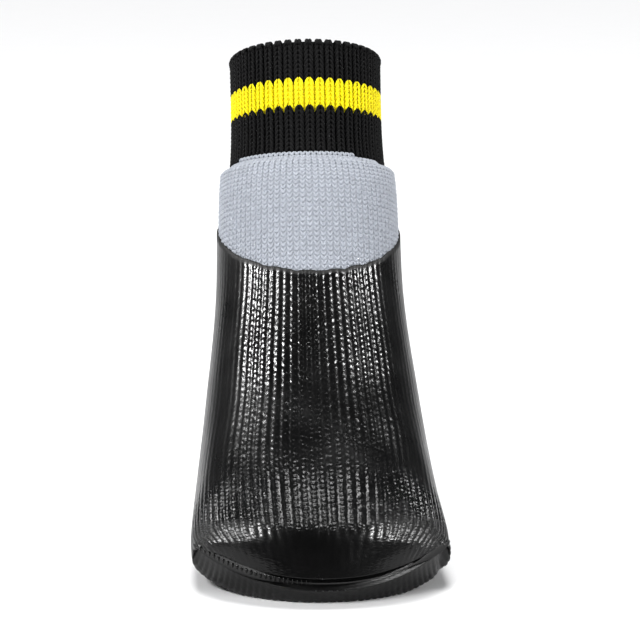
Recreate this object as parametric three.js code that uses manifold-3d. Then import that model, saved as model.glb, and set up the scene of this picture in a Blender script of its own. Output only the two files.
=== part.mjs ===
// A dog sock: a knitted tube with a ribbed cuff, and a rubber coat dipped over its foot.
// Millimetres, +Z up. The toe points along -Y, X runs across the paw, the sole stands on Z = 0.
import * as THREE from "three";
import { mergeVertices } from "three/addons/utils/BufferGeometryUtils.js";
import startSolids from "manifold-3d";

const solids = await startSolids();
solids.setup();

// Driving dimensions
const ribCount = 44; // ribs round the cuff, one crest and one furrow each
const ribDepth = 0.6; // crest to furrow
const cuffEnd = 23.5; // cuff length along the tube
const cuffWall = 1.8; // ribbed knit, crest to inside
const knitWall = 1.3; // plain knit of the leg and foot
const rubberWall = 0.7; // dipped coat
const rubberProud = 0.2; // how far the coat stands above the bare knit
const fitGap = 0.3; // clearance between coat and knit
const toeSlack = 0.5; // further clearance where the knit closes inside the toe
const dipFrontY = -3; // the coat's upper edge at the front of the leg
const dipFrontZ = 52.8;
const dipSlope = 0.21; // rise of the coat's edge per millimetre toward the back
const seamLip = 0.8; // the raised toe seam stands out by this much
const seamThick = 0.7; // half the height of the toe seam
const seamEar = 0.5; // how far the seam's two ends stand out at the sides
const seamRound = 0.25; // rounding of the toe seam's edge
const noseAt = 112; // lengths along the tube at which the nose begins and the toe closes
const seamAt = 124;
const rimRound = 0.6; // rounding of the cuff's two edges
const stepReach = 8; // length over which the inside steps in from leg to foot
const sweepPower = 2.2; // how the bow and lift grow from the middle plane to the sides
const leastHalf = 0.3; // a closing ring stays at least twice this high
const around = 40; // points round a plain section
const blockSize = 200; // the blocks that cut along the coat's edge

// Sections of the tube, from the rim to the toe seam. along is the length from the rim, front and
// back are the two ends of the section on the middle plane, bow sweeps the sides back toward the
// heel, lift raises them, square is the exponent of the outline, endShare is how much of a wall
// thickness is taken lengthwise as the toe closes.
const columns = [
  "along", "frontY", "frontZ", "backY", "backZ", "halfWidth", "bow", "lift", "square", "endShare",
];
const sections = [
  [0, 18.0, 94.0, 43.3, 84.0, 14.6, 0, 0, 2.0, 0], // rim
  [11, 13.6, 83.8, 39.9, 74.4, 14.5, 0, 0, 2.0, 0], // middle of the cuff
  [23.5, 8.7, 72.9, 35.8, 64.7, 14.9, 0, 0, 2.0, 0], // end of the cuff
  [25.2, 6.8, 72.0, 36.6, 63.2, 16.6, 0, 0, 2.05, 0], // shoulder of the leg
  [46.5, -3.0, 52.5, 31.0, 40.0, 17.4, 0, 0, 2.1, 0], // front of the dip edge
  [68.5, -16.0, 35.3, 24.0, 18.0, 19.7, 0, 0, 2.2, 0], // instep to heel
  [88.5, -28.0, 22.2, 10.0, -0.7, 22.0, 2, 0, 2.4, 0], // ball to heel
  [105, -38.8, 12.9, -14.0, -1.2, 22.8, 6.5, 0.5, 2.9, 0.3], // toe edge
  [117, -41.8, 8.0, -36.8, -1.1, 22.7, 11.5, 2.2, 3.1, 0.7], // nose
  [124, -42.6, 4.9, -42.3, 3.1, 22.2, 14, 3.9, 2.4, 1], // toe seam
];

const column = Object.fromEntries(columns.map((name, at) => [name, sections.map((row) => row[at])]));
const slope = Object.fromEntries(columns.map((name) => [name, columnSlopes(column[name])]));

// Slopes of a monotone cubic through one column.
function columnSlopes(values) {
  const reach = (at) => column.along[at + 1] - column.along[at];
  const step = (at) => (values[at + 1] - values[at]) / reach(at);
  const last = values.length - 1;
  return values.map((value, at) => {
    if (at === 0) return step(0);
    if (at === last) return step(last - 1);
    if (step(at - 1) * step(at) <= 0) return 0;
    const before = 2 * reach(at) + reach(at - 1);
    const after = reach(at) + 2 * reach(at - 1);
    return (before + after) / (before / step(at - 1) + after / step(at));
  });
}

// One section's sizes at a length along the tube. Above the rim the cuff carries on straight.
function sectionAt(along) {
  const last = sections.length - 2;
  const at = Math.min(last, Math.max(0, column.along.findLastIndex((start) => start <= along)));
  const reach = column.along[at + 1] - column.along[at];
  const t = (along - column.along[at]) / reach;
  const size = {};
  for (const name of columns) {
    const [a, b] = [column[name][at], column[name][at + 1]];
    const [p, q] = [slope[name][at] * reach, slope[name][at + 1] * reach];
    const cubic = a + t * (p + t * (3 * (b - a) - 2 * p - q + t * (2 * (a - b) + p + q)));
    size[name] = t < 0 ? a + p * t : cubic;
  }
  return size;
}

// A closed ring of points round the tube, starting at the front, evenly spaced in each quarter.
// inset moves the ring inward by a wall thickness, widen the sides outward by their own amount,
// and thick fixes half the height of a flat ring.
function ringAt({ along, inset = 0, thick = null, widen = -inset }, count) {
  const size = sectionAt(along);
  const midY = (size.frontY + size.backY) / 2 + inset * size.endShare;
  const midZ = (size.frontZ + size.backZ) / 2;
  const chord = Math.hypot(size.frontY - size.backY, size.frontZ - size.backZ) / 2;
  const half = thick ?? Math.max(chord - inset, leastHalf);
  const width = size.halfWidth + widen;
  const floor = inset + rubberProud;
  const bend = (value) => Math.sign(value) * Math.abs(value) ** (2 / size.square);
  const pointAt = (turn) => {
    const across = bend(Math.sin(turn));
    const share = (bend(Math.cos(turn)) * half) / chord / 2;
    const sweep = Math.abs(across) ** sweepPower;
    const y = midY + share * (size.frontY - size.backY) + sweep * size.bow;
    const z = midZ + share * (size.frontZ - size.backZ) + sweep * size.lift;
    return new THREE.Vector3(across * width, y, Math.max(z, floor));
  };
  return [0, 1, 2, 3].flatMap((quarter) => {
    const turns = steps((quarter * Math.PI) / 2, ((quarter + 1) * Math.PI) / 2, count * 3);
    return evenPoints(turns.map(pointAt), count / 4);
  });
}

// Points evenly spaced along an outline, its last point left out.
function evenPoints(outline, count) {
  const run = [0];
  outline.forEach((point, at) => {
    if (at > 0) run.push(run[at - 1] + point.distanceTo(outline[at - 1]));
  });
  return Array.from({ length: count }, (unused, index) => {
    const target = (run.at(-1) * index) / count;
    const at = Math.max(0, run.findLastIndex((length) => length <= target));
    const share = (target - run[at]) / (run[at + 1] - run[at]);
    return outline[at].clone().lerp(outline[at + 1], share);
  });
}

// Height of a point above the slanted edge of the rubber coat.
function aboveDip(point) {
  return point.z - dipFrontZ - dipSlope * (point.y - dipFrontY);
}

// A ring whose inset goes over softly from one value on the leg to another under the coat.
function steppedRing(along, leg, foot) {
  const upper = ringAt({ along, inset: leg }, around);
  const lower = ringAt({ along, inset: foot }, around);
  return upper.map((point, at) => {
    const share = THREE.MathUtils.clamp(0.5 - aboveDip(point) / stepReach, 0, 1);
    return point.clone().lerp(lower[at], share);
  });
}

// The ribbed cuff: crests and furrows take turns round the ring.
function ribRing(along, inset) {
  const crest = ringAt({ along, inset }, ribCount * 2);
  const furrow = ringAt({ along, inset: inset + ribDepth }, ribCount * 2);
  return crest.map((point, at) => (at % 2 === 0 ? point : furrow[at]));
}

// A closed solid through a run of rings. The first ring is closed round its centre, and so is the
// last one, unless it is a flat toe end, which is closed by a strip from side to side.
function loft(rings, flatEnd = false) {
  const count = rings[0].length;
  const points = rings.flat().flatMap((point) => point.toArray());
  const faces = [];
  const name = (ring, at) => ring * count + ((at + count) % count);
  const addFace = (face, flip) => faces.push(...(flip ? face.reverse() : face));
  for (let ring = 0; ring + 1 < rings.length; ring += 1) {
    for (let at = 0; at < count; at += 1) {
      const [a, b] = [name(ring, at), name(ring, at + 1)];
      const [c, d] = [name(ring + 1, at), name(ring + 1, at + 1)];
      addFace([a, c, b]);
      addFace([b, c, d]);
    }
  }
  const closeRound = (ring, flip) => {
    const centre = rings[ring].reduce((sum, point) => sum.add(point), new THREE.Vector3());
    points.push(...centre.divideScalar(count).toArray());
    const middle = points.length / 3 - 1;
    for (let at = 0; at < count; at += 1) addFace([name(ring, at), name(ring, at + 1), middle], flip);
  };
  const closeFlat = (ring) => {
    for (let at = -count / 4; at < count / 4; at += 1) {
      const [a, b] = [name(ring, at), name(ring, at + 1)];
      const [c, d] = [name(ring, count / 2 - at), name(ring, count / 2 - at - 1)];
      if (a !== c) addFace([c, b, a]);
      if (b !== d) addFace([c, d, b]);
    }
  };
  closeRound(0, false);
  if (flatEnd) closeFlat(rings.length - 1);
  else closeRound(rings.length - 1, true);
  return solidOf(points, faces);
}

function solidOf(points, faces) {
  const mesh = new solids.Mesh({
    numProp: 3,
    vertProperties: new Float32Array(points),
    triVerts: new Uint32Array(faces),
  });
  return new solids.Manifold(mesh);
}

// A large block on one side of the coat's slanted edge: side 1 is above it, side -1 below it.
function dipBlock(side, offset) {
  const block = new THREE.BoxGeometry(blockSize, blockSize, blockSize);
  block.translate(0, 0, (side * blockSize) / 2);
  block.rotateX(Math.atan(dipSlope));
  block.translate(0, dipFrontY, dipFrontZ + offset);
  block.deleteAttribute("normal");
  block.deleteAttribute("uv");
  const shared = mergeVertices(block);
  return solidOf(shared.attributes.position.array, shared.index.array);
}

// Even steps along the tube, both ends kept.
function steps(from, to, count) {
  return Array.from({ length: count + 1 }, (unused, at) => from + ((to - from) * at) / count);
}

function meshOf(name, solid, colour, roughness) {
  const cut = solid.getMesh();
  const points = [];
  for (let at = 0; at < cut.vertProperties.length; at += cut.numProp) {
    points.push(cut.vertProperties[at], cut.vertProperties[at + 1], cut.vertProperties[at + 2]);
  }
  const geometry = new THREE.BufferGeometry();
  geometry.setAttribute("position", new THREE.Float32BufferAttribute(points, 3));
  geometry.setIndex(Array.from(cut.triVerts));
  geometry.computeVertexNormals();
  const material = new THREE.MeshStandardMaterial({ color: colour, roughness, metalness: 0 });
  const mesh = new THREE.Mesh(geometry, material);
  mesh.name = name;
  return mesh;
}

// The knitted tube: ribbed cuff, plain leg and foot, one hollow solid open at the rim.
const coatInset = rubberWall - rubberProud;
const footInset = coatInset + fitGap;
const hollowInset = footInset + knitWall;
const shoulder = steps(cuffEnd - 2, cuffEnd + 4, 4);
const legAndFoot = steps(cuffEnd + 8, noseAt, 20);
const nose = steps(noseAt + 3, seamAt, 4);
const stations = [...shoulder, ...legAndFoot, ...nose];
const tuck = (along) => (along <= cuffEnd ? ribDepth + 0.1 : 0);
const tube = (inset) => stations.map((along) => ringAt({ along, inset: inset + tuck(along) }, around));
const knitToe = nose.slice(0, -1).map((along) => ringAt({ along, inset: footInset + toeSlack }, around));
const cuffForm = loft([
  ribRing(0, rimRound),
  ribRing(rimRound, 0),
  ...steps(5, cuffEnd - rimRound, 3).map((along) => ribRing(along, 0)),
  ribRing(cuffEnd, rimRound),
]);
const hollowForm = loft([
  ...steps(-3, cuffEnd, 5).map((along) => ringAt({ along, inset: cuffWall }, around)),
  ...steps(cuffEnd + 3, noseAt, 18).map((along) => steppedRing(along, knitWall, hollowInset)),
  ...steps(noseAt + 3, seamAt - 3, 2).map((along) => ringAt({ along, inset: hollowInset }, around)),
], true);
const knitSolid = loft(tube(0), true)
  .subtract(dipBlock(-1, fitGap))
  .add(loft([...tube(footInset).slice(0, -nose.length), ...knitToe], true))
  .add(cuffForm)
  .subtract(hollowForm);

// The rubber coat: a cup over the foot, cut off along its slanted edge, with the toe seam raised.
const edgeThick = seamThick - seamRound;
const seamEdge = { along: seamAt, inset: -seamLip - seamRound, thick: edgeThick, widen: seamEar };
const coatForm = loft([
  ...tube(-rubberProud).slice(0, -1),
  ringAt({ along: seamAt, inset: -rubberProud, thick: seamThick }, around),
  ringAt({ along: seamAt, inset: -seamLip, thick: seamThick, widen: seamEar }, around),
  ringAt(seamEdge, around),
], true);
const coatSolid = coatForm.subtract(loft(tube(coatInset), true)).subtract(dipBlock(1, 0));

const sock = new THREE.Group();
sock.name = "dog_sock";
sock.add(meshOf("knit_sock", knitSolid, 0xaab0bd, 0.9));
sock.add(meshOf("rubber_dip", coatSolid, 0x17181a, 0.4));

export default sock;
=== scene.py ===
import math

import bpy
import numpy as np
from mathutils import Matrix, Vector


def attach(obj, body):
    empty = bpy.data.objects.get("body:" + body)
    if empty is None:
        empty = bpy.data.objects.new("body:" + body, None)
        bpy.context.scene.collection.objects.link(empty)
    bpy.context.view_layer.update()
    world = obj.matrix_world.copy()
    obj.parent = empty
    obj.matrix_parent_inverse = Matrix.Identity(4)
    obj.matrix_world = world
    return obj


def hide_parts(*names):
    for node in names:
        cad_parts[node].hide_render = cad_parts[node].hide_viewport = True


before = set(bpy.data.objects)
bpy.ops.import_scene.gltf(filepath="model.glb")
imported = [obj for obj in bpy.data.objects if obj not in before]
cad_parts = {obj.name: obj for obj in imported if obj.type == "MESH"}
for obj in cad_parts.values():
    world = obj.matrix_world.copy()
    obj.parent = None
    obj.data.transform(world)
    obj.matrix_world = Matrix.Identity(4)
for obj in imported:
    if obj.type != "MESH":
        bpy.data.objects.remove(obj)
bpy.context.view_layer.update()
scene = bpy.context.scene
mm = 0.001  # sizes below are in millimetres, unless a note says metres
print("frame is in:", len(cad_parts), "nodes")

# camera: stands where the photograph was taken from, a little closer in
cameraSpot = {
    "aim": (0.0, 22.0, 50.0),
    "turn": 2.9,  # degrees, toe to the right
    "rise": 8.0,
    "away": 560.0,
    "lens": 165.0,
    "film": 36.0,
    "clip": (0.01, 50.0),  # metres
    "sideways": 0.0043,  # the sock's middle, seen from the aim point
    "downward": 0.0181,
}


def placeCamera(spot):
    turn, rise = math.radians(spot["turn"]), math.radians(spot["rise"])
    level = math.cos(rise)
    ahead = Vector((math.sin(turn) * level, math.cos(turn) * level, -math.sin(rise)))
    right = Vector((math.cos(turn), -math.sin(turn), 0))
    up = right.cross(ahead)
    data = bpy.data.cameras.new("photoCamera")
    data.lens = spot["lens"]
    data.sensor_width = spot["film"]
    data.clip_start, data.clip_end = spot["clip"]
    camera = bpy.data.objects.new("photoCamera", data)
    scene.collection.objects.link(camera)
    camera.location = (Vector(spot["aim"]) - ahead * spot["away"]) * mm
    look = ahead + right * spot["sideways"] - up * spot["downward"]
    camera.rotation_euler = look.to_track_quat("-Z", "Y").to_euler()
    scene.camera = camera


placeCamera(cameraSpot)
print("camera stands")


# small helpers for meshes, node trees and numbers
def meshPiece(name, points, faces, material, corners=None):
    mesh = bpy.data.meshes.new(name)
    mesh.from_pydata((points * mm).tolist(), [], faces)
    if corners is not None:
        layer = mesh.uv_layers.new(name="knitUV")
        layer.data.foreach_set("uv", np.asarray(corners, dtype=np.float32).ravel())
    mesh.shade_smooth()
    mesh.materials.append(material)
    piece = bpy.data.objects.new(name, mesh)
    scene.collection.objects.link(piece)
    return piece


def newFinish(name):
    finish = bpy.data.materials.new(name)
    finish.use_nodes = True
    return finish, finish.node_tree, finish.node_tree.nodes["Principled BSDF"]


def addNode(tree, kind, inputs=None, **settings):
    made = tree.nodes.new(kind)
    for key, value in settings.items():
        setattr(made, key, value)
    for key, value in (inputs or {}).items():
        if isinstance(value, bpy.types.NodeSocket):
            tree.links.new(value, made.inputs[key])
        else:
            made.inputs[key].default_value = value
    return made


def mathNode(tree, operation, *values):
    return addNode(tree, "ShaderNodeMath", dict(enumerate(values)), operation=operation).outputs[0]


def noiseNode(tree, vector, scale, detail):
    inputs = {"Vector": vector, "Scale": scale, "Detail": detail}
    return addNode(tree, "ShaderNodeTexNoise", inputs).outputs["Fac"]


# one round hump for each whole turn
def humpNode(tree, turns):
    wave = mathNode(tree, "COSINE", mathNode(tree, "MULTIPLY", turns, 2 * math.pi))
    return mathNode(tree, "ADD", mathNode(tree, "MULTIPLY", wave, 0.5), 0.5)


# 1 on the thin coat, down to the given share where it is dull
def keptNode(tree, dull, share):
    return mathNode(tree, "SUBTRACT", 1.0, mathNode(tree, "MULTIPLY", dull, 1 - share))


def twoTones(tree, share, deep, pale, spread=(0.0, 1.0)):
    mixed = addNode(tree, "ShaderNodeValToRGB", {"Fac": share})
    for stop, position, tone in zip(mixed.color_ramp.elements, spread, (deep, pale)):
        stop.position, stop.color = position, tone
    return mixed.outputs["Color"]


def between(ends, share):
    return ends[0] + (ends[1] - ends[0]) * share


def easeStep(values, low, high):
    share = np.clip((values - low) / (high - low), 0, 1)
    return share * share * (3 - 2 * share)


def easeBand(values, rising, falling):
    return easeStep(values, *rising) * (1 - easeStep(values, *falling))


def signedPower(values, power):
    return np.sign(values) * np.abs(values) ** power


# the sock's form: sections from the rim to the toe seam, front and back points on the middle plane
sockForm = {
    "along": [0, 11, 23.5, 25.2, 46.5, 68.5, 88.5, 105, 117, 124],
    "frontY": [18.0, 13.6, 8.7, 6.8, -3.0, -16.0, -28.0, -38.8, -41.8, -42.6],
    "frontZ": [94.0, 83.8, 72.9, 72.0, 52.5, 35.3, 22.2, 12.9, 8.0, 4.9],
    "backY": [43.3, 39.9, 35.8, 36.6, 31.0, 24.0, 10.0, -14.0, -36.8, -42.3],
    "backZ": [84.0, 74.4, 64.7, 63.2, 40.0, 18.0, -0.7, -1.2, -1.1, 3.1],
    "halfWidth": [14.6, 14.5, 14.9, 16.6, 17.4, 19.7, 22.0, 22.8, 22.7, 22.2],
    "bow": [0, 0, 0, 0, 0, 0, 2, 6.5, 11.5, 14],
    "lift": [0, 0, 0, 0, 0, 0, 0, 0.5, 2.2, 3.9],
    "square": [2.0, 2.0, 2.0, 2.05, 2.1, 2.2, 2.4, 2.9, 3.1, 2.4],
    "endShare": [0, 0, 0, 0, 0, 0, 0, 0.3, 0.7, 1],
    "sweepPower": 2.2,
    "leastHalf": 0.3,  # an inner section stays at least twice this high
    "standing": 0.2,  # the knit stands this far above the ground, on the rubber
    "wales": 88,  # stitches round the tube
    "perWale": 6,
    "quarterSteps": 161,  # points on a quarter outline before they are spread evenly
    "rowStep": 0.25,
    "first": -1.0,  # rows begin a little above the rim
}

# soft troughs and swells pressed into the form: from and to as (along, wale)
softFolds = [
    {"from": (107.0, 74.0), "to": (107.0, 102.0), "wide": 2.8, "deep": -0.6},  # edge of the toe
    {"from": (113.5, 75.0), "to": (113.5, 101.0), "wide": 3.0, "deep": 0.15},
    {"from": (70, 76.0), "to": (70, 100.0), "wide": 7.0, "deep": 0.38},  # instep gives under the leg
    {"from": (94, 77.0), "to": (94, 99.0), "wide": 7.0, "deep": 0.25},  # and bends into the toe
    {"from": (122, 20.0), "to": (114, 17.5), "wide": 1.2, "deep": 0.6},  # right ear pinch
    {"from": (123, 23.6), "to": (116, 25.5), "wide": 1.2, "deep": 0.5},
    {"from": (122, 67.8), "to": (117, 69.0), "wide": 1.0, "deep": 0.35},  # left ear pinch
    {"from": (78, 78.0), "to": (84, 84.0), "wide": 5.0, "deep": 0.15},  # slack at the instep's two sides
    {"from": (80, 3.0), "to": (86, 10.0), "wide": 5.0, "deep": 0.35},
    {"from": (66, 27.0), "to": (76, 36.0), "wide": 3.5, "deep": 0.5},  # side creases above the heel
    {"from": (66, 61.0), "to": (76, 52.0), "wide": 3.5, "deep": 0.5},
    {"from": (56, 27.0), "to": (62, 35.0), "wide": 3.0, "deep": 0.35},
    {"from": (56, 61.0), "to": (62, 53.0), "wide": 3.0, "deep": 0.35},
]
foldPress = {"steps": 25, "facing": (0.0, 0.6)}  # a fold leaves the far wall of the tube alone


# monotone cubic through one column of the form
def smoothColumn(values, at):
    stations = np.array(sockForm["along"], dtype=float)
    values = np.array(values, dtype=float)
    reach = np.diff(stations)
    step = np.diff(values) / reach
    slope = np.zeros(len(values))
    slope[0], slope[-1] = step[0], step[-1]
    for k in range(1, len(values) - 1):
        if step[k - 1] * step[k] > 0:
            before, after = 2 * reach[k] + reach[k - 1], reach[k] + 2 * reach[k - 1]
            slope[k] = (before + after) / (before / step[k - 1] + after / step[k])
    cell = np.clip(np.searchsorted(stations, at, side="right") - 1, 0, len(reach) - 1)
    t = (at - stations[cell]) / reach[cell]
    a, b = values[cell], values[cell + 1]
    p, q = slope[cell] * reach[cell], slope[cell + 1] * reach[cell]
    cubic = a + t * (p + t * (3 * (b - a) - 2 * p - q + t * (2 * (a - b) + p + q)))
    return np.where(t < 0, a + p * t, cubic)


# rows of points down the tube, each spread evenly round its section
def formGrid(inset=0.0):
    step = sockForm["rowStep"]
    rows = np.arange(sockForm["first"], sockForm["along"][-1] + step / 2, step)
    columns = {name: values for name, values in sockForm.items() if isinstance(values, list)}
    size = {name: smoothColumn(values, rows)[:, None] for name, values in columns.items()}
    midY, midZ = (size["frontY"] + size["backY"]) / 2, (size["frontZ"] + size["backZ"]) / 2
    deepY, deepZ = size["frontY"] - size["backY"], size["frontZ"] - size["backZ"]
    chord = np.hypot(deepY, deepZ) / 2
    shrink = np.maximum(chord - inset, sockForm["leastHalf"]) / chord
    power = 2 / size["square"]
    perQuarter = sockForm["wales"] * sockForm["perWale"] // 4
    quarters = []
    for quarter in range(4):
        turns = np.linspace(quarter, quarter + 1, sockForm["quarterSteps"]) * math.pi / 2
        across = signedPower(np.sin(turns), power)
        share = signedPower(np.cos(turns), power) / 2 * shrink
        sweep = np.abs(across) ** sockForm["sweepPower"]
        x = across * (size["halfWidth"] - inset)
        y = midY + share * deepY + inset * size["endShare"] + sweep * size["bow"]
        z = midZ + share * deepZ + sweep * size["lift"]
        outline = np.stack([x, y, np.maximum(z, sockForm["standing"] + inset)], axis=-1)
        run = np.cumsum(np.linalg.norm(np.diff(outline, axis=1), axis=2), axis=1)
        run = np.pad(run, ((0, 0), (1, 0)))
        even = np.empty((len(rows), perQuarter, 3))
        for k in range(len(rows)):
            target = run[k, -1] * np.arange(perQuarter) / perQuarter
            for axis in range(3):
                even[k, :, axis] = np.interp(target, run[k], outline[k, :, axis])
        quarters.append(even)
    return np.concatenate(quarters, axis=1)


def outwardNormals(grid):
    down = np.gradient(grid, axis=0)
    ahead = np.roll(grid, -1, axis=1) - np.roll(grid, 1, axis=1)
    normals = np.cross(down, ahead)
    return normals / np.maximum(np.linalg.norm(normals, axis=2, keepdims=True), 1e-9)


def gridValue(grid, along, wale):
    row = (np.asarray(along, dtype=float) - sockForm["first"]) / sockForm["rowStep"]
    col = np.asarray(wale, dtype=float) * sockForm["perWale"]
    row, col = np.broadcast_arrays(row, col)
    top = np.clip(np.floor(row).astype(int), 0, grid.shape[0] - 2)
    left = np.floor(col).astype(int)
    downShare = (row - top)[..., None]
    sideShare = (col - left)[..., None]
    left, right = left % grid.shape[1], (left + 1) % grid.shape[1]
    upper = grid[top, left] * (1 - sideShare) + grid[top, right] * sideShare
    lower = grid[top + 1, left] * (1 - sideShare) + grid[top + 1, right] * sideShare
    return upper * (1 - downShare) + lower * downShare


def pressFolds(grid, folds):
    normals = outwardNormals(grid)
    share = np.linspace(0, 1, foldPress["steps"])
    for fold in folds:
        along, wale = (between(ends, share) for ends in zip(fold["from"], fold["to"]))
        line, facing = gridValue(grid, along, wale), gridValue(normals, along, wale)
        apart = np.full(grid.shape[:2], np.inf)
        turned = np.zeros(grid.shape[:2])
        for point, normal in zip(line, facing):
            reach = np.linalg.norm(grid - point, axis=2)
            nearer = reach < apart
            apart[nearer] = reach[nearer]
            turned[nearer] = (normals @ normal)[nearer]
        press = fold["deep"] * np.exp(-((apart / fold["wide"]) ** 2))
        press = press * easeStep(turned, *foldPress["facing"])
        grid = grid - normals * press[..., None]
    grid[..., 2] = np.maximum(grid[..., 2], sockForm["standing"])
    return grid


tubePoints = pressFolds(formGrid(), softFolds)
tubeNormals = outwardNormals(tubePoints)


def onTube(along, wale, height=0.0):
    normal = gridValue(tubeNormals, along, wale)
    normal = normal / np.linalg.norm(normal, axis=-1, keepdims=True)
    return gridValue(tubePoints, along, wale) + normal * np.asarray(height)[..., None], normal


# the rubber's upper edge: a slanted plane through the tube, a little ragged
dipEdge = {
    "frontY": -3.0,
    "frontZ": 52.8,
    "slope": 0.21,
    "ragged": 0.2,
    "wander": 0.15,
    "waves": ((0.5, 3, 0.7), (0.35, 7, 2.1), (0.3, 13, 4.0)),  # share, turns round the leg, start
    "seed": 11,
}


def dipLine():
    slanted = dipEdge["frontZ"] + dipEdge["slope"] * (tubePoints[..., 1] - dipEdge["frontY"])
    above = tubePoints[..., 2] - slanted
    low = np.argmax(above < 0, axis=0)
    cols = np.arange(above.shape[1])
    share = above[low - 1, cols] / (above[low - 1, cols] - above[low, cols])
    return sockForm["first"] + (low - 1 + share) * sockForm["rowStep"]


dipAlong = dipLine()


def dipAt(wale):
    cols = np.arange(len(dipAlong) + 1) / sockForm["perWale"]
    return np.interp(np.asarray(wale) % sockForm["wales"], cols, np.append(dipAlong, dipAlong[0]))


def dipRagged(wale):
    wale, count = np.asarray(wale), sockForm["wales"]
    chance = np.random.default_rng(dipEdge["seed"])
    each = chance.uniform(-1, 1, count + 1)
    each[-1] = each[0]
    steps = np.interp((wale + 0.5) % count, np.arange(count + 1), each)
    turn = wale * 2 * math.pi / count
    wander = sum(share * np.sin(turns * turn + start) for share, turns, start in dipEdge["waves"])
    return dipEdge["ragged"] * steps + dipEdge["wander"] * wander


print("sock form laid out, dip edge from", round(dipAlong.min(), 1), "to", round(dipAlong.max(), 1))


# finishes: yarn in three colours, then the rubber
yarnFinish = {
    "legYarn": {
        "pale": (0.42, 0.446, 0.50, 1),
        "deep": (0.366, 0.389, 0.437, 1),
        "shine": 0.25,
        "sheen": 0.13,
    },
    "cuffYarn": {
        "pale": (0.004, 0.004, 0.0043, 1),
        "deep": (0.002, 0.002, 0.0022, 1),
        "shine": 0.07,
        "sheen": 0.01,
    },
    "stripeYarn": {
        "pale": (0.97, 0.84, 0.005, 1),
        "deep": (0.88, 0.74, 0.004, 1),
        "shine": 0.12,
        "sheen": 0.02,
    },
}
yarnMake = {
    "dye": (900.0, 3.0),  # scale and detail of the uneven dye
    "dyeSpread": (0.3, 0.62),
    "plies": 3,
    "twist": 1.4,  # for each stitch
    "fibre": (6000.0, 4.0),
    "fibreShare": 0.8,
    "relief": 0.45,
    "deep": 0.00008,  # metres
    "rough": 0.88,
    "sheenRough": 0.4,
}


def knitYarn(name, look):
    finish, tree, surface = newFinish(name)
    place = addNode(tree, "ShaderNodeTexCoord").outputs
    dye = noiseNode(tree, place["Object"], *yarnMake["dye"])
    colour = twoTones(tree, dye, look["deep"], look["pale"], yarnMake["dyeSpread"])
    tree.links.new(colour, surface.inputs["Base Color"])
    # plies twisted round the yarn, and loose fibres over them
    strand = addNode(tree, "ShaderNodeSeparateXYZ", {"Vector": place["UV"]}).outputs
    twist = mathNode(tree, "ADD", strand["X"], mathNode(tree, "MULTIPLY", strand["Y"], yarnMake["twist"]))
    wave = mathNode(tree, "SINE", mathNode(tree, "MULTIPLY", twist, yarnMake["plies"] * math.pi))
    ply = mathNode(tree, "ABSOLUTE", wave)
    fibre = noiseNode(tree, place["Object"], *yarnMake["fibre"])
    relief = mathNode(tree, "ADD", ply, mathNode(tree, "MULTIPLY", fibre, yarnMake["fibreShare"]))
    bumps = {"Height": relief, "Strength": yarnMake["relief"], "Distance": yarnMake["deep"]}
    tree.links.new(addNode(tree, "ShaderNodeBump", bumps).outputs["Normal"], surface.inputs["Normal"])
    surface.inputs["Roughness"].default_value = yarnMake["rough"]
    surface.inputs["Specular IOR Level"].default_value = look["shine"]
    surface.inputs["Sheen Weight"].default_value = look["sheen"]
    surface.inputs["Sheen Roughness"].default_value = yarnMake["sheenRough"]
    return finish


finishes = {name: knitYarn(name, look) for name, look in yarnFinish.items()}

dippedRubber = {
    "pale": (0.002, 0.002, 0.0021, 1),
    "deep": (0.001, 0.001, 0.001, 1),
    "blotch": (120.0, 4.0),  # scale and detail
    "gloss": (0.20, 0.30),
    "glossSpread": (0.3, 0.7),
    "shine": 0.18,
    "stitch": (1.3, 1.5),
    "stitchLong": (1.0, 0.42, 1.0),  # stitches show longer down the wale than across it
    "stitchRelief": 0.00007,  # metres, as the two reliefs below
    "dullRelief": 0.5,  # share of all relief that shows where the coat is thick and smooth
    "beads": 0.8,  # for each course of the knit
    "beadStagger": 0.618,  # no two neighbours in step
    "beadRelief": 0.000055,
    "dullBeads": 0.3,
    "lump": (1700.0, 2.0),
    "lumpRelief": 0.00004,
}


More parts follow.
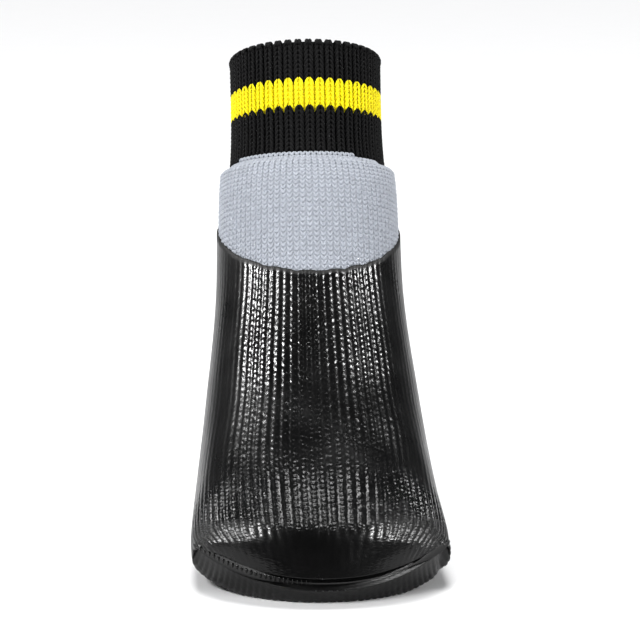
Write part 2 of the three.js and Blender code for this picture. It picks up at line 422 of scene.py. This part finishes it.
def rubberSkin(look):
    finish, tree, surface = newFinish("dippedRubber")
    place = addNode(tree, "ShaderNodeTexCoord").outputs
    blotch = noiseNode(tree, place["Object"], *look["blotch"])
    tree.links.new(twoTones(tree, blotch, look["deep"], look["pale"]), surface.inputs["Base Color"])
    ends = dict(zip(("From Min", "From Max", "To Min", "To Max"), look["glossSpread"] + look["gloss"]))
    gloss = addNode(tree, "ShaderNodeMapRange", {"Value": blotch, **ends}).outputs["Result"]
    dull = addNode(tree, "ShaderNodeAttribute", attribute_name="dull").outputs["Fac"]
    rough = addNode(tree, "ShaderNodeAttribute", attribute_name="rough").outputs["Fac"]
    tree.links.new(mathNode(tree, "ADD", gloss, rough), surface.inputs["Roughness"])
    # stitches under the coat, a row of beads down each wale, and lumps of the coat itself
    shown = keptNode(tree, dull, look["dullRelief"])
    knit = {0: place["UV"], 1: look["stitchLong"]}
    knit = addNode(tree, "ShaderNodeVectorMath", knit, operation="MULTIPLY").outputs[0]
    stitch = noiseNode(tree, knit, *look["stitch"])
    split = addNode(tree, "ShaderNodeSeparateXYZ", {"Vector": place["UV"]}).outputs
    column = mathNode(tree, "FLOOR", mathNode(tree, "ADD", split["X"], 0.5))
    start = mathNode(tree, "ADD", mathNode(tree, "MULTIPLY", column, look["beadStagger"]), stitch)
    turn = mathNode(tree, "ADD", mathNode(tree, "MULTIPLY", split["Y"], look["beads"]), start)
    bead = mathNode(tree, "MULTIPLY", humpNode(tree, turn), humpNode(tree, split["X"]))
    bead = mathNode(tree, "MULTIPLY", bead, keptNode(tree, dull, look["dullBeads"]))
    lump = noiseNode(tree, place["Object"], *look["lump"])
    normal = None
    reliefs = ((stitch, look["stitchRelief"]), (bead, look["beadRelief"]), (lump, look["lumpRelief"]))
    for height, deep in reliefs:
        relief = {"Height": mathNode(tree, "MULTIPLY", height, shown), "Distance": deep}
        if normal is not None:
            relief["Normal"] = normal
        normal = addNode(tree, "ShaderNodeBump", relief).outputs["Normal"]
    tree.links.new(normal, surface.inputs["Normal"])
    surface.inputs["Specular IOR Level"].default_value = look["shine"]
    return finish


finishes["rubber"] = rubberSkin(dippedRubber)
print("finishes mixed")


# grids of quads that close round the tube
def roundMesh(name, points, material, knitUV, closeRows=False, capEnd=False):
    rows, cols = points.shape[:2]
    number = np.arange(rows * cols).reshape(rows, cols)
    nextRow = np.roll(number, -1, axis=0) if closeRows else number[1:]
    here = number if closeRows else number[:-1]
    quads = np.stack([here, nextRow, np.roll(nextRow, -1, axis=1), np.roll(here, -1, axis=1)], axis=-1)
    faces = quads.reshape(-1, 4).tolist()
    if capEnd:
        last, half = number[-1], cols // 2
        faces.append([last[0], last[cols - 1], last[1]])
        for k in range(1, half - 1):
            faces.append([last[k], last[cols - k], last[cols - k - 1], last[k + 1]])
        faces.append([last[half - 1], last[half + 1], last[half]])
    flat = knitUV.reshape(-1, 2)
    corners = np.concatenate([flat[face] for face in faces])
    lastCol = np.arange(cols - 1, len(quads) * cols, cols)
    wholeRound = np.sign(knitUV[0, 1, 0] - knitUV[0, 0, 0]) * sockForm["wales"]
    for corner in (2, 3):  # the last column's faces end one whole round on
        corners[lastCol * 4 + corner, 0] += wholeRound
    return meshPiece(name, points.reshape(-1, 3), faces, material, corners)


# strands swept along many short paths
def strandMesh(name, centres, normals, wide, high, sides, material):
    count, steps = centres.shape[:2]
    along = np.gradient(centres, axis=1)
    along /= np.linalg.norm(along, axis=2, keepdims=True)
    across = np.cross(along, normals)
    across /= np.linalg.norm(across, axis=2, keepdims=True)
    upward = np.cross(across, along)
    angles = np.arange(sides) * 2 * math.pi / sides
    ring = (
        across[:, :, None] * (wide[..., None] * np.cos(angles))[..., None]
        + upward[:, :, None] * (high[..., None] * np.sin(angles))[..., None]
    )
    points = centres[:, :, None] + ring
    number = np.arange(count * steps * sides).reshape(count, steps, sides)
    a, d = number[:, :-1], number[:, 1:]
    b, c = np.roll(a, -1, axis=2), np.roll(d, -1, axis=2)
    quads = np.stack([a, b, c, d], axis=-1).reshape(-1, 4)
    caps = np.concatenate([number[:, 0, ::-1], number[:, -1]])
    # corners run once round the strand and once along it, for the twist of its plies
    u = np.arange(sides + 1) / sides
    v = np.linspace(0, 1, steps)
    cornerU = np.stack([u[:-1], u[1:], u[1:], u[:-1]], axis=-1)
    cornerV = np.stack([v[:-1], v[:-1], v[1:], v[1:]], axis=-1)[None, :, None]
    every = (count, steps - 1, sides, 4)
    corners = np.stack([np.broadcast_to(cornerU, every), np.broadcast_to(cornerV, every)], axis=-1)
    corners = np.concatenate([corners.reshape(-1, 2), np.zeros((caps.size, 2))])
    return meshPiece(name, points.reshape(-1, 3), quads.tolist() + caps.tolist(), material, corners)


# each stitch is two plump legs that meet at the top and spread downward
plumpLeg = {"opening": 0.8, "taper": 0.06, "thinEnd": 0.5}


def stitchLegs(name, alongs, wales, look, material):
    stitch = look["stitch"]
    rings = stitch["rings"]
    t = np.linspace(0, 1, rings)
    side = np.array([-1.0, 1.0])[None, :, None]
    across = side * between((stitch["near"], stitch["far"]), t ** plumpLeg["opening"])
    down = (t * stitch["reach"] - stitch["rise"]) * look["course"]
    along = alongs[:, None, None] + down + 0 * side
    wale = wales[:, None, None] + across
    swell = np.sin(math.pi * between((plumpLeg["taper"], 1 - plumpLeg["taper"]), t))
    fall = stitch["fall"] * (np.abs(across) / stitch["far"]) ** 2
    height = stitch["lift"] + stitch["swell"] * swell - fall
    centres, normals = onTube(along, wale, np.broadcast_to(height, along.shape))
    centres, normals = centres.reshape(-1, rings, 3), normals.reshape(-1, rings, 3)
    fat = stitch["thick"] * between((plumpLeg["thinEnd"], 1), swell)
    fat = np.broadcast_to(fat, centres.shape[:2])
    return strandMesh(name, centres, normals, fat, fat * stitch["flat"], stitch["sides"], material)


# cuff: one by one rib, near-black with a bright stripe
cuff = {
    "ribs": 44,
    "walesPerRib": 2,
    "course": 0.9,
    "firstCourse": 0.8,
    "stripe": (8, 14),  # courses knitted in the bright yarn
    "tooth": (-0.35, 1.0),  # the stripe's edges on a rib's crest and in a furrow, in courses
    "courses": 24,
    "longer": {1: (5, 36), 2: (8, 33)},  # ribs between these two are longer by so many courses
    "stitch": {
        "near": 0.12,
        "far": 0.80,
        "reach": 1.55,
        "rise": 0.35,
        "lift": -0.42,
        "swell": 0.20,
        "fall": 0.30,
        "thick": 0.26,
        "flat": 0.85,
        "rings": 6,
        "sides": 6,
    },
}


def longerBy(rib):
    more = np.zeros(np.shape(rib), dtype=int)
    for courses, (start, end) in cuff["longer"].items():
        more[(rib >= start) & (rib <= end)] = courses
    return more


def cuffStitches(look):
    most = look["courses"] + max(look["longer"])
    rib, course = np.meshgrid(np.arange(look["ribs"]), np.arange(most))
    kept = course < look["courses"] + longerBy(rib)
    first, after = look["stripe"]
    bands = {
        "cuffTopStitches": kept & (course < first),
        "stripeStitches": kept & (course >= first) & (course < after),
        "cuffLowStitches": kept & (course >= after),
    }
    made = []
    for name, band in bands.items():
        yarn = "stripeYarn" if name.startswith("stripe") else "cuffYarn"
        alongs = look["firstCourse"] + course[band] * look["course"]
        made.append(stitchLegs(name, alongs, rib[band] * look["walesPerRib"], look, finishes[yarn]))
    return made


cuffPieces = cuffStitches(cuff)

# loops that turn over the rim, two for each rib
rimLoops = {
    "thick": 0.38,
    "flat": 0.9,
    "apart": 0.29,
    "mid": -0.95,
    "half": 0.66,
    "top": 0.3,
    "drop": 0.7,
    "turn": (-0.1, 1.1),  # from the outside over to the inside, in half turns
    "probe": 0.5,  # either way along the tube, to find which way is up
    "steps": 9,
    "sides": 6,
}


def rimStrands(look):
    turn = np.linspace(*look["turn"], look["steps"]) * math.pi
    ribs = np.arange(cuff["ribs"])[:, None] * cuff["walesPerRib"] + np.array([-1, 1]) * look["apart"]
    wale = ribs.reshape(-1, 1) + 0 * turn
    along = look["top"] + look["drop"] * (1 - np.sin(turn)) + 0 * wale
    height = look["mid"] + look["half"] * np.cos(turn) + 0 * wale
    centres, normals = onTube(along, wale, height)
    upward = onTube(along - look["probe"], wale)[0] - onTube(along + look["probe"], wale)[0]
    upward = upward / np.linalg.norm(upward, axis=2, keepdims=True)
    facing = normals * np.cos(turn)[None, :, None] + upward * np.sin(turn)[None, :, None]
    fat = np.full(centres.shape[:2], look["thick"])
    flat = fat * look["flat"]
    return strandMesh("rimLoops", centres, facing, fat, flat, look["sides"], finishes["cuffYarn"])


cuffPieces.append(rimStrands(rimLoops))

# the wall behind the ribs, ribbed on both faces
cuffWall = {
    "outer": -0.75,
    "inner": -1.5,
    "ribDeep": 0.22,
    "perRib": 8,
    "rowStep": 0.6,
    "top": 0.55,
    "end": 24.1,
}


def cuffBand(name, start, end, look, material):
    wale = np.arange(cuff["ribs"] * look["perRib"]) * cuff["walesPerRib"] / look["perRib"]
    share = np.linspace(0, 1, max(2, int(np.max(end - start) / look["rowStep"]) + 1))[:, None]
    along = between((start, end), share)
    crest = np.cos(wale * 2 * math.pi / cuff["walesPerRib"]) * look["ribDeep"] + 0 * along
    outer = onTube(along, wale, look["outer"] + crest)[0]
    inner = onTube(along[::-1], wale, look["inner"] + crest)[0]
    courses = np.concatenate([along, along[::-1]]) / cuff["course"]
    knitUV = np.stack(np.broadcast_arrays(wale, courses), axis=-1)
    return roundMesh(name, np.concatenate([outer, inner]), material, knitUV, closeRows=True)


def cuffWalls(look):
    crests = np.cos(np.arange(look["perRib"]) * 2 * math.pi / look["perRib"])
    teeth = np.tile(np.interp(crests, (-1, 1), cuff["tooth"][::-1]), cuff["ribs"])
    stripe = [cuff["firstCourse"] + (course + teeth) * cuff["course"] for course in cuff["stripe"]]
    start = np.full(len(teeth), look["top"])
    end = look["end"] + longerBy(np.arange(cuff["ribs"]).repeat(look["perRib"])) * cuff["course"]
    return [
        cuffBand("cuffTopWall", start, stripe[0], look, finishes["cuffYarn"]),
        cuffBand("stripeWall", stripe[0], stripe[1], look, finishes["stripeYarn"]),
        cuffBand("cuffLowWall", stripe[1], end, look, finishes["cuffYarn"]),
    ]


cuffPieces += cuffWalls(cuffWall)
print("cuff knitted:", sum(len(piece.data.polygons) for piece in cuffPieces), "faces")

# leg: plain knit, from under the cuff to under the rubber
leg = {
    "course": 0.86,
    "courses": 40,  # more than the leg shows at its longest
    "start": 22.7,
    "under": 1.6,  # stitches carry on this far below the edge of the rubber
    "stitch": {
        "near": 0.06,
        "far": 0.50,
        "reach": 1.1,
        "rise": 0.3,
        "lift": -0.40,
        "swell": 0.18,
        "fall": 0.06,
        "thick": 0.277,
        "flat": 0.7,
        "rings": 5,
        "sides": 6,
    },
    "wall": {
        "outer": -0.36,
        "inner": -1.25,
        "top": 23.4,
        "below": 8.0,
        "tuckFrom": (-0.5, 1.5),  # both faces go in a little as the wall runs under the rubber
        "outerTuck": 0.4,
        "innerTuck": 0.5,
        "rows": 24,
        "perWale": 3,
    },
    "lining": {
        "below": 4.0,
        "topHeight": -1.5,
        "settle": 0.06,  # share of its length over which it settles onto the foot's inside
        "inset": 2.1,
        "end": 120.0,
        "rows": 90,
        "perWale": 3,
    },
}


def legStitches(look):
    wale, course = np.meshgrid(np.arange(sockForm["wales"]), np.arange(look["courses"]))
    along = look["start"] + course * look["course"]
    later = longerBy(((wale + 1) // cuff["walesPerRib"]) % cuff["ribs"])
    kept = (along < dipAt(wale) + look["under"]) & (course >= later)
    return stitchLegs("legStitches", along[kept], wale[kept], look, finishes["legYarn"])


def legBand(look):
    wall = look["wall"]
    wale = np.arange(sockForm["wales"] * wall["perWale"]) / wall["perWale"]
    share = np.linspace(0, 1, wall["rows"])[:, None]
    top = wall["top"] + longerBy((wale / cuff["walesPerRib"]).astype(int)) * look["course"]
    along = between((top, dipAt(wale) + wall["below"]), share)
    tuck = easeStep(along - dipAt(wale), *wall["tuckFrom"])
    outer = onTube(along, wale, wall["outer"] - wall["outerTuck"] * tuck)[0]
    inner = onTube(along[::-1], wale, wall["inner"] - wall["innerTuck"] * tuck[::-1])[0]
    courses = np.concatenate([along, along[::-1]]) / look["course"]
    knitUV = np.stack(np.broadcast_arrays(wale, courses), axis=-1)
    points = np.concatenate([outer, inner])
    return roundMesh("legWall", points, finishes["legYarn"], knitUV, closeRows=True)


def footLining(look):
    inside = look["lining"]
    wale = -np.arange(sockForm["wales"] * inside["perWale"]) / inside["perWale"]  # faces inward
    share = np.linspace(0, 1, inside["rows"])[:, None]
    along = between((dipAt(wale) + inside["below"], inside["end"]), share)
    top = onTube(along, wale, inside["topHeight"] + 0 * along)[0]
    points = gridValue(formGrid(inside["inset"]), along, wale)
    settle = easeStep(share, 0, inside["settle"])[..., None]
    points = top * (1 - settle) + points * settle
    knitUV = np.stack(np.broadcast_arrays(wale, along / look["course"]), axis=-1)
    return roundMesh("footLining", points, finishes["legYarn"], knitUV, capEnd=True)


legPieces = [legStitches(leg), legBand(leg), footLining(leg)]
print("leg knitted:", sum(len(piece.data.polygons) for piece in legPieces), "faces")

# rubber foot: a thin coat that shows each wale of the knit as a ridge
foot = {
    "proud": 0.2,
    "ridge": 0.16,
    "crest": 2.2,  # a higher power makes flatter crests and narrower grooves
    "rows": 205,
    "spots": (0.0, 0.22, 0.40, 0.60, 0.78),  # across one wale, grooves at its two ends
    "end": 123.9,
    "lip": ((0.35, -0.6), (-0.02, -0.25), (-0.08, -0.02), (0.0, 0.11)),  # along from the edge, height
    "lipGroove": 0.05,
    "lipReach": 0.12,
    "sway": 0.05,  # grooves wander by this share of a wale
    "uneven": 0.22,  # and their depth by this share
    "unevenEnds": (0.3, 1.5),
    "seeds": {"uneven": 3, "sway": 4},
}

# where the coat is thick, smooth or matt, along the tube or in wales to either side of the front
footZones = {
    "smoothFrom": (104.0, 109.0),  # the front of the toe is nearly smooth
    "smoothWiden": (108.0, 114.0),
    "smoothLeft": (8.0, 17.0),  # as far as these wales at its upper edge and at the seam
    "smoothRight": (6.0, 13.0),
    "smoothBlend": 3.0,
    "cornerFrom": (101.0, 104.0),  # beside the smooth front
    "cornerOut": (17.0, 21.0),
    "sideFrom": (8.5, 13.0),  # down the sides of the leg
    "sideTo": (24.0, 32.0),
    "sideEnd": (85.0, 100.0),
    "underFrom": (95.0, 105.0),
    "underOut": (19.0, 22.0),
    "bendFrom": (60.0, 72.0),  # where the instep bends
    "bendTo": (86.0, 94.0),
    "rim": (0.3, 1.0),  # just below the upper edge
    "seam": (119.0, 123.0),
    "flat": {"smooth": 0.9, "sides": 0.8, "seam": 0.75},  # share of the ridges that is lost
    "dull": {"smooth": 1.0, "sides": 0.85, "under": 1.0, "bend": 0.6},  # how far it hides the knit
    "rough": {"sides": 0.06, "corner": 0.16, "under": 0.2},  # added to the rubber's roughness
    "rimRough": 0.45,
}
unevenWaves = {"count": 9, "turns": (14, 46), "along": (2.4, 4.6)}


# smooth uneven values over the tube, about -1 to 1, that close round it
def wobble(wale, along, seed):
    chance = np.random.default_rng(seed)
    total = 0
    for _ in range(unevenWaves["count"]):
        turns = chance.integers(*unevenWaves["turns"]) * chance.choice([-1, 1])
        turn = turns * 2 * math.pi / sockForm["wales"]
        run = along * chance.uniform(*unevenWaves["along"])
        total = total + np.sin(wale * turn + run + chance.uniform(0, 2 * math.pi))
    return total / math.sqrt(unevenWaves["count"])


def coatZones(look, wale, along, edge):
    half = sockForm["wales"] // 2
    right = (wale + half) % sockForm["wales"] - half  # wales from the front, less than 0 on the left
    out = np.abs(right)
    widen, blend = easeStep(along, *look["smoothWiden"]), look["smoothBlend"]
    leftEnd, rightEnd = between(look["smoothLeft"], widen), between(look["smoothRight"], widen)
    within = 1 - easeStep(right, rightEnd - blend, rightEnd + blend)
    within = within * (1 - easeStep(-right, leftEnd - blend, leftEnd + blend))
    corner = easeStep(along, *look["cornerFrom"]) * (1 - easeStep(out, *look["cornerOut"]))
    return {
        "smooth": easeStep(along, *look["smoothFrom"]) * within,
        "corner": corner * (1 - within),
        "sides": easeBand(out, look["sideFrom"], look["sideTo"]) * (1 - easeStep(along, *look["sideEnd"])),
        "under": easeStep(along, *look["underFrom"]) * easeStep(out, *look["underOut"]),
        "bend": easeBand(along, look["bendFrom"], look["bendTo"]),
        "rim": 1 - easeStep(along - edge, *look["rim"]),
        "seam": easeStep(along, *look["seam"]),
    }


def setCoat(piece, **coat):
    for name, values in coat.items():
        layer = piece.data.attributes.new(name, "FLOAT", "POINT")
        layer.data.foreach_set("value", np.ascontiguousarray(values, dtype=np.float32).ravel())


def rubberFoot(look, zoneLook):
    spots = np.array(look["spots"])
    wale = (np.arange(sockForm["wales"])[:, None] + spots - 0.5).ravel()
    groove = np.abs(2 * spots - 1) ** look["crest"]  # 0 on a wale's crest, 1 in its groove
    groove = np.tile(groove, sockForm["wales"])
    edge = dipAt(wale) + dipRagged(wale)
    share = np.linspace(0, 1, look["rows"])[:, None]
    along = between((edge + look["lipReach"], look["end"]), share)
    zones = coatZones(zoneLook, wale, along, edge)
    uneven = 1 + look["uneven"] * wobble(wale, along, look["seeds"]["uneven"])
    ridge = look["ridge"] * np.clip(uneven, *look["unevenEnds"])
    for zone, lost in zoneLook["flat"].items():
        ridge = ridge * (1 - lost * zones[zone])
    height = look["proud"] - ridge * groove
    lipAlong = np.stack([edge + ahead for ahead, _ in look["lip"]])
    lipHeight = np.stack([rise + 0 * edge for _, rise in look["lip"]])
    lipHeight[-1] -= look["lipGroove"] * groove
    along, height = np.concatenate([lipAlong, along]), np.concatenate([lipHeight, height])
    sway = look["sway"] * wobble(wale, along, look["seeds"]["sway"])
    points = onTube(along, wale + sway, height)[0]
    points[..., 2] = np.maximum(points[..., 2], 0.0)
    knitUV = np.stack(np.broadcast_arrays(wale, along / leg["course"]), axis=-1)
    piece = roundMesh("rubberFoot", points, finishes["rubber"], knitUV, capEnd=True)
    dull = np.maximum.reduce([most * zones[zone] for zone, most in zoneLook["dull"].items()])
    rough = sum(more * zones[zone] for zone, more in zoneLook["rough"].items())
    rough = np.maximum(rough, zoneLook["rimRough"] * zones["rim"])
    lipDull, lipRough = np.zeros_like(lipHeight), np.full_like(lipHeight, zoneLook["rimRough"])
    setCoat(piece, dull=np.concatenate([lipDull, dull]), rough=np.concatenate([lipRough, rough]))
    return piece


# toe seam: a low ridge from ear to ear, with the linking stitches showing where the coat is thin
toeSeam = {
    "half": 22.6,
    "middle": (-42.75, 4.2),
    "bow": 14.0,
    "lift": 3.9,
    "high": 0.85,
    "deep": 0.22,
    "upright": (0.0, 0.25, 1.0),
    "endPower": 14,  # rounds the ridge off at the two ears
    "endLeast": 0.02,
    "sunk": 0.15,  # height left in the middle, where the coat runs over the ridge
    "leftSunk": (0.2, 0.6),
    "rightSunk": (0.65, 0.9),
    "rough": 0.45,
    "steps": 220,
    "sides": 14,
}
linkStitches = {
    "count": 58,
    "last": 0.97,
    "thinFrom": (0.1, 0.6),  # the coat thins from here toward the left ear
    "bead": 0.3,
    "least": 0.15,
    "thinEnd": 0.6,
    "turn": (0.22, -0.10),  # from the front of the ridge down under it, in half turns
    "rings": 6,
    "sides": 6,
}


def seamLine(share):
    sweep = np.abs(share) ** sockForm["sweepPower"]
    y = toeSeam["middle"][0] + sweep * toeSeam["bow"]
    z = toeSeam["middle"][1] + sweep * toeSeam["lift"]
    return np.stack([share * toeSeam["half"], y, z], axis=-1)


def seamRidge(look):
    share = np.linspace(-1, 1, look["steps"])
    centres = seamLine(share)[None]
    upright = np.broadcast_to(np.array(look["upright"]), centres.shape)
    stands = np.maximum(easeStep(-share, *look["leftSunk"]), easeStep(share, *look["rightSunk"]))
    ends = np.sqrt(np.clip(1 - np.abs(share) ** look["endPower"], look["endLeast"], 1))
    ends = (ends * between((look["sunk"], 1), stands))[None]
    wide, high = look["deep"] * ends, look["high"] * ends
    ridge = strandMesh("toeSeam", centres, upright, wide, high, look["sides"], finishes["rubber"])
    every = np.ones(len(ridge.data.vertices))
    setCoat(ridge, dull=every, rough=every * look["rough"])
    return ridge


def seamStitches(look, seam):
    share = (np.arange(look["count"]) + 0.5) / look["count"] * 2 - 1
    share = share[(-share < look["last"]) & (-share > look["thinFrom"][0])]
    t = np.linspace(0, 1, look["rings"])
    turn = between(look["turn"], t) * math.pi
    around = np.stack([0 * turn, -np.cos(turn) * seam["deep"], np.sin(turn) * seam["high"]], axis=-1)
    centres = seamLine(share)[:, None] + around
    normals = np.broadcast_to(around / np.linalg.norm(around, axis=1, keepdims=True), centres.shape)
    thin = between((look["least"], 1), easeStep(-share, *look["thinFrom"]))
    fat = look["bead"] * thin[:, None] * between((look["thinEnd"], 1), np.sin(math.pi * t))
    return strandMesh("seamStitches", centres, normals, fat, fat, look["sides"], finishes["rubber"])


footPieces = [rubberFoot(foot, footZones), seamRidge(toeSeam), seamStitches(linkStitches, toeSeam)]
print("foot dipped:", sum(len(piece.data.polygons) for piece in footPieces), "faces")

# what each piece belongs to
for piece in cuffPieces + legPieces + footPieces:
    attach(piece, "root")
    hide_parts("rubber_dip" if piece in footPieces else "knit_sock")

# pale floor and soft light
paleFloor = {
    "half": 9000.0,
    "pale": (0.90, 0.90, 0.905, 1),
    "deep": (0.882, 0.882, 0.8869, 1),
    "speck": (40.0, 2.0),  # scale and detail
    "rough": 0.8,
    "shine": 0.2,
}
studio = {
    "skyTone": (0.94, 0.97, 1.0, 1),
    "sky": 0.08,
    "sun": {"power": 3.4, "soft": 30.0, "tilt": (-22.0, 0.0, 0.0)},
    "lamps": [
        {"name": "leftFill", "at": (-750, -850, 950), "to": (0, 0, 50), "size": (500, 400), "power": 15.5},
        {"name": "rightFill", "at": (700, -950, 600), "to": (0, 0, 50), "size": (500, 400), "power": 7.5},
        {"name": "leftBox", "at": (-620, -150, 435), "to": (0, -8, 42), "size": (250, 140), "power": 25.0},
        {"name": "rightBox", "at": (555, -290, 450), "to": (0, -8, 42), "size": (230, 140), "power": 20.5},
        {"name": "leftRim", "at": (-400, 520, 430), "to": (0, -30, 15), "size": (140, 110), "power": 1.2},
        {"name": "rightRim", "at": (400, 520, 430), "to": (0, -30, 15), "size": (140, 110), "power": 0.9},
        {"name": "topBox", "at": (0, 105, 900), "to": (0, -30, 20), "size": (300, 160), "power": 5.2},
    ],
}


def layFloor(look):
    finish, tree, surface = newFinish("paleFloor")
    place = addNode(tree, "ShaderNodeTexCoord").outputs
    speck = noiseNode(tree, place["Object"], *look["speck"])
    tree.links.new(twoTones(tree, speck, look["deep"], look["pale"]), surface.inputs["Base Color"])
    surface.inputs["Roughness"].default_value = look["rough"]
    surface.inputs["Specular IOR Level"].default_value = look["shine"]
    half = look["half"]
    corners = np.array([(-half, -half, 0), (half, -half, 0), (half, half, 0), (-half, half, 0)])
    floor = meshPiece("paleFloor", corners, [[0, 1, 2, 3]], finish)


def hangLight(data, name):
    light = bpy.data.objects.new(name, data)
    scene.collection.objects.link(light)
    return light


def lightStudio(look):
    world = bpy.data.worlds.new("softRoom")
    world.use_nodes = True
    sky = world.node_tree.nodes["Background"].inputs
    sky["Color"].default_value, sky["Strength"].default_value = look["skyTone"], look["sky"]
    scene.world = world
    scene.view_settings.view_transform = "Standard"
    data = bpy.data.lights.new("softSun", "SUN")
    data.energy = look["sun"]["power"]
    data.angle = math.radians(look["sun"]["soft"])
    sun = hangLight(data, "softSun")
    sun.rotation_euler = [math.radians(turn) for turn in look["sun"]["tilt"]]
    sun.visible_glossy = False
    for lamp in look["lamps"]:
        data = bpy.data.lights.new(lamp["name"], "AREA")
        data.shape = "RECTANGLE"
        data.size, data.size_y = lamp["size"][0] * mm, lamp["size"][1] * mm
        data.energy = lamp["power"]
        light = hangLight(data, lamp["name"])
        light.visible_diffuse = lamp["name"].endswith("Fill")  # fills only light, the others only gleam
        light.visible_glossy = not light.visible_diffuse
        at, to = Vector(lamp["at"]), Vector(lamp["to"])
        light.location = at * mm
        light.rotation_euler = (to - at).to_track_quat("-Z", "Y").to_euler()


layFloor(paleFloor)
lightStudio(studio)
print("studio lit")
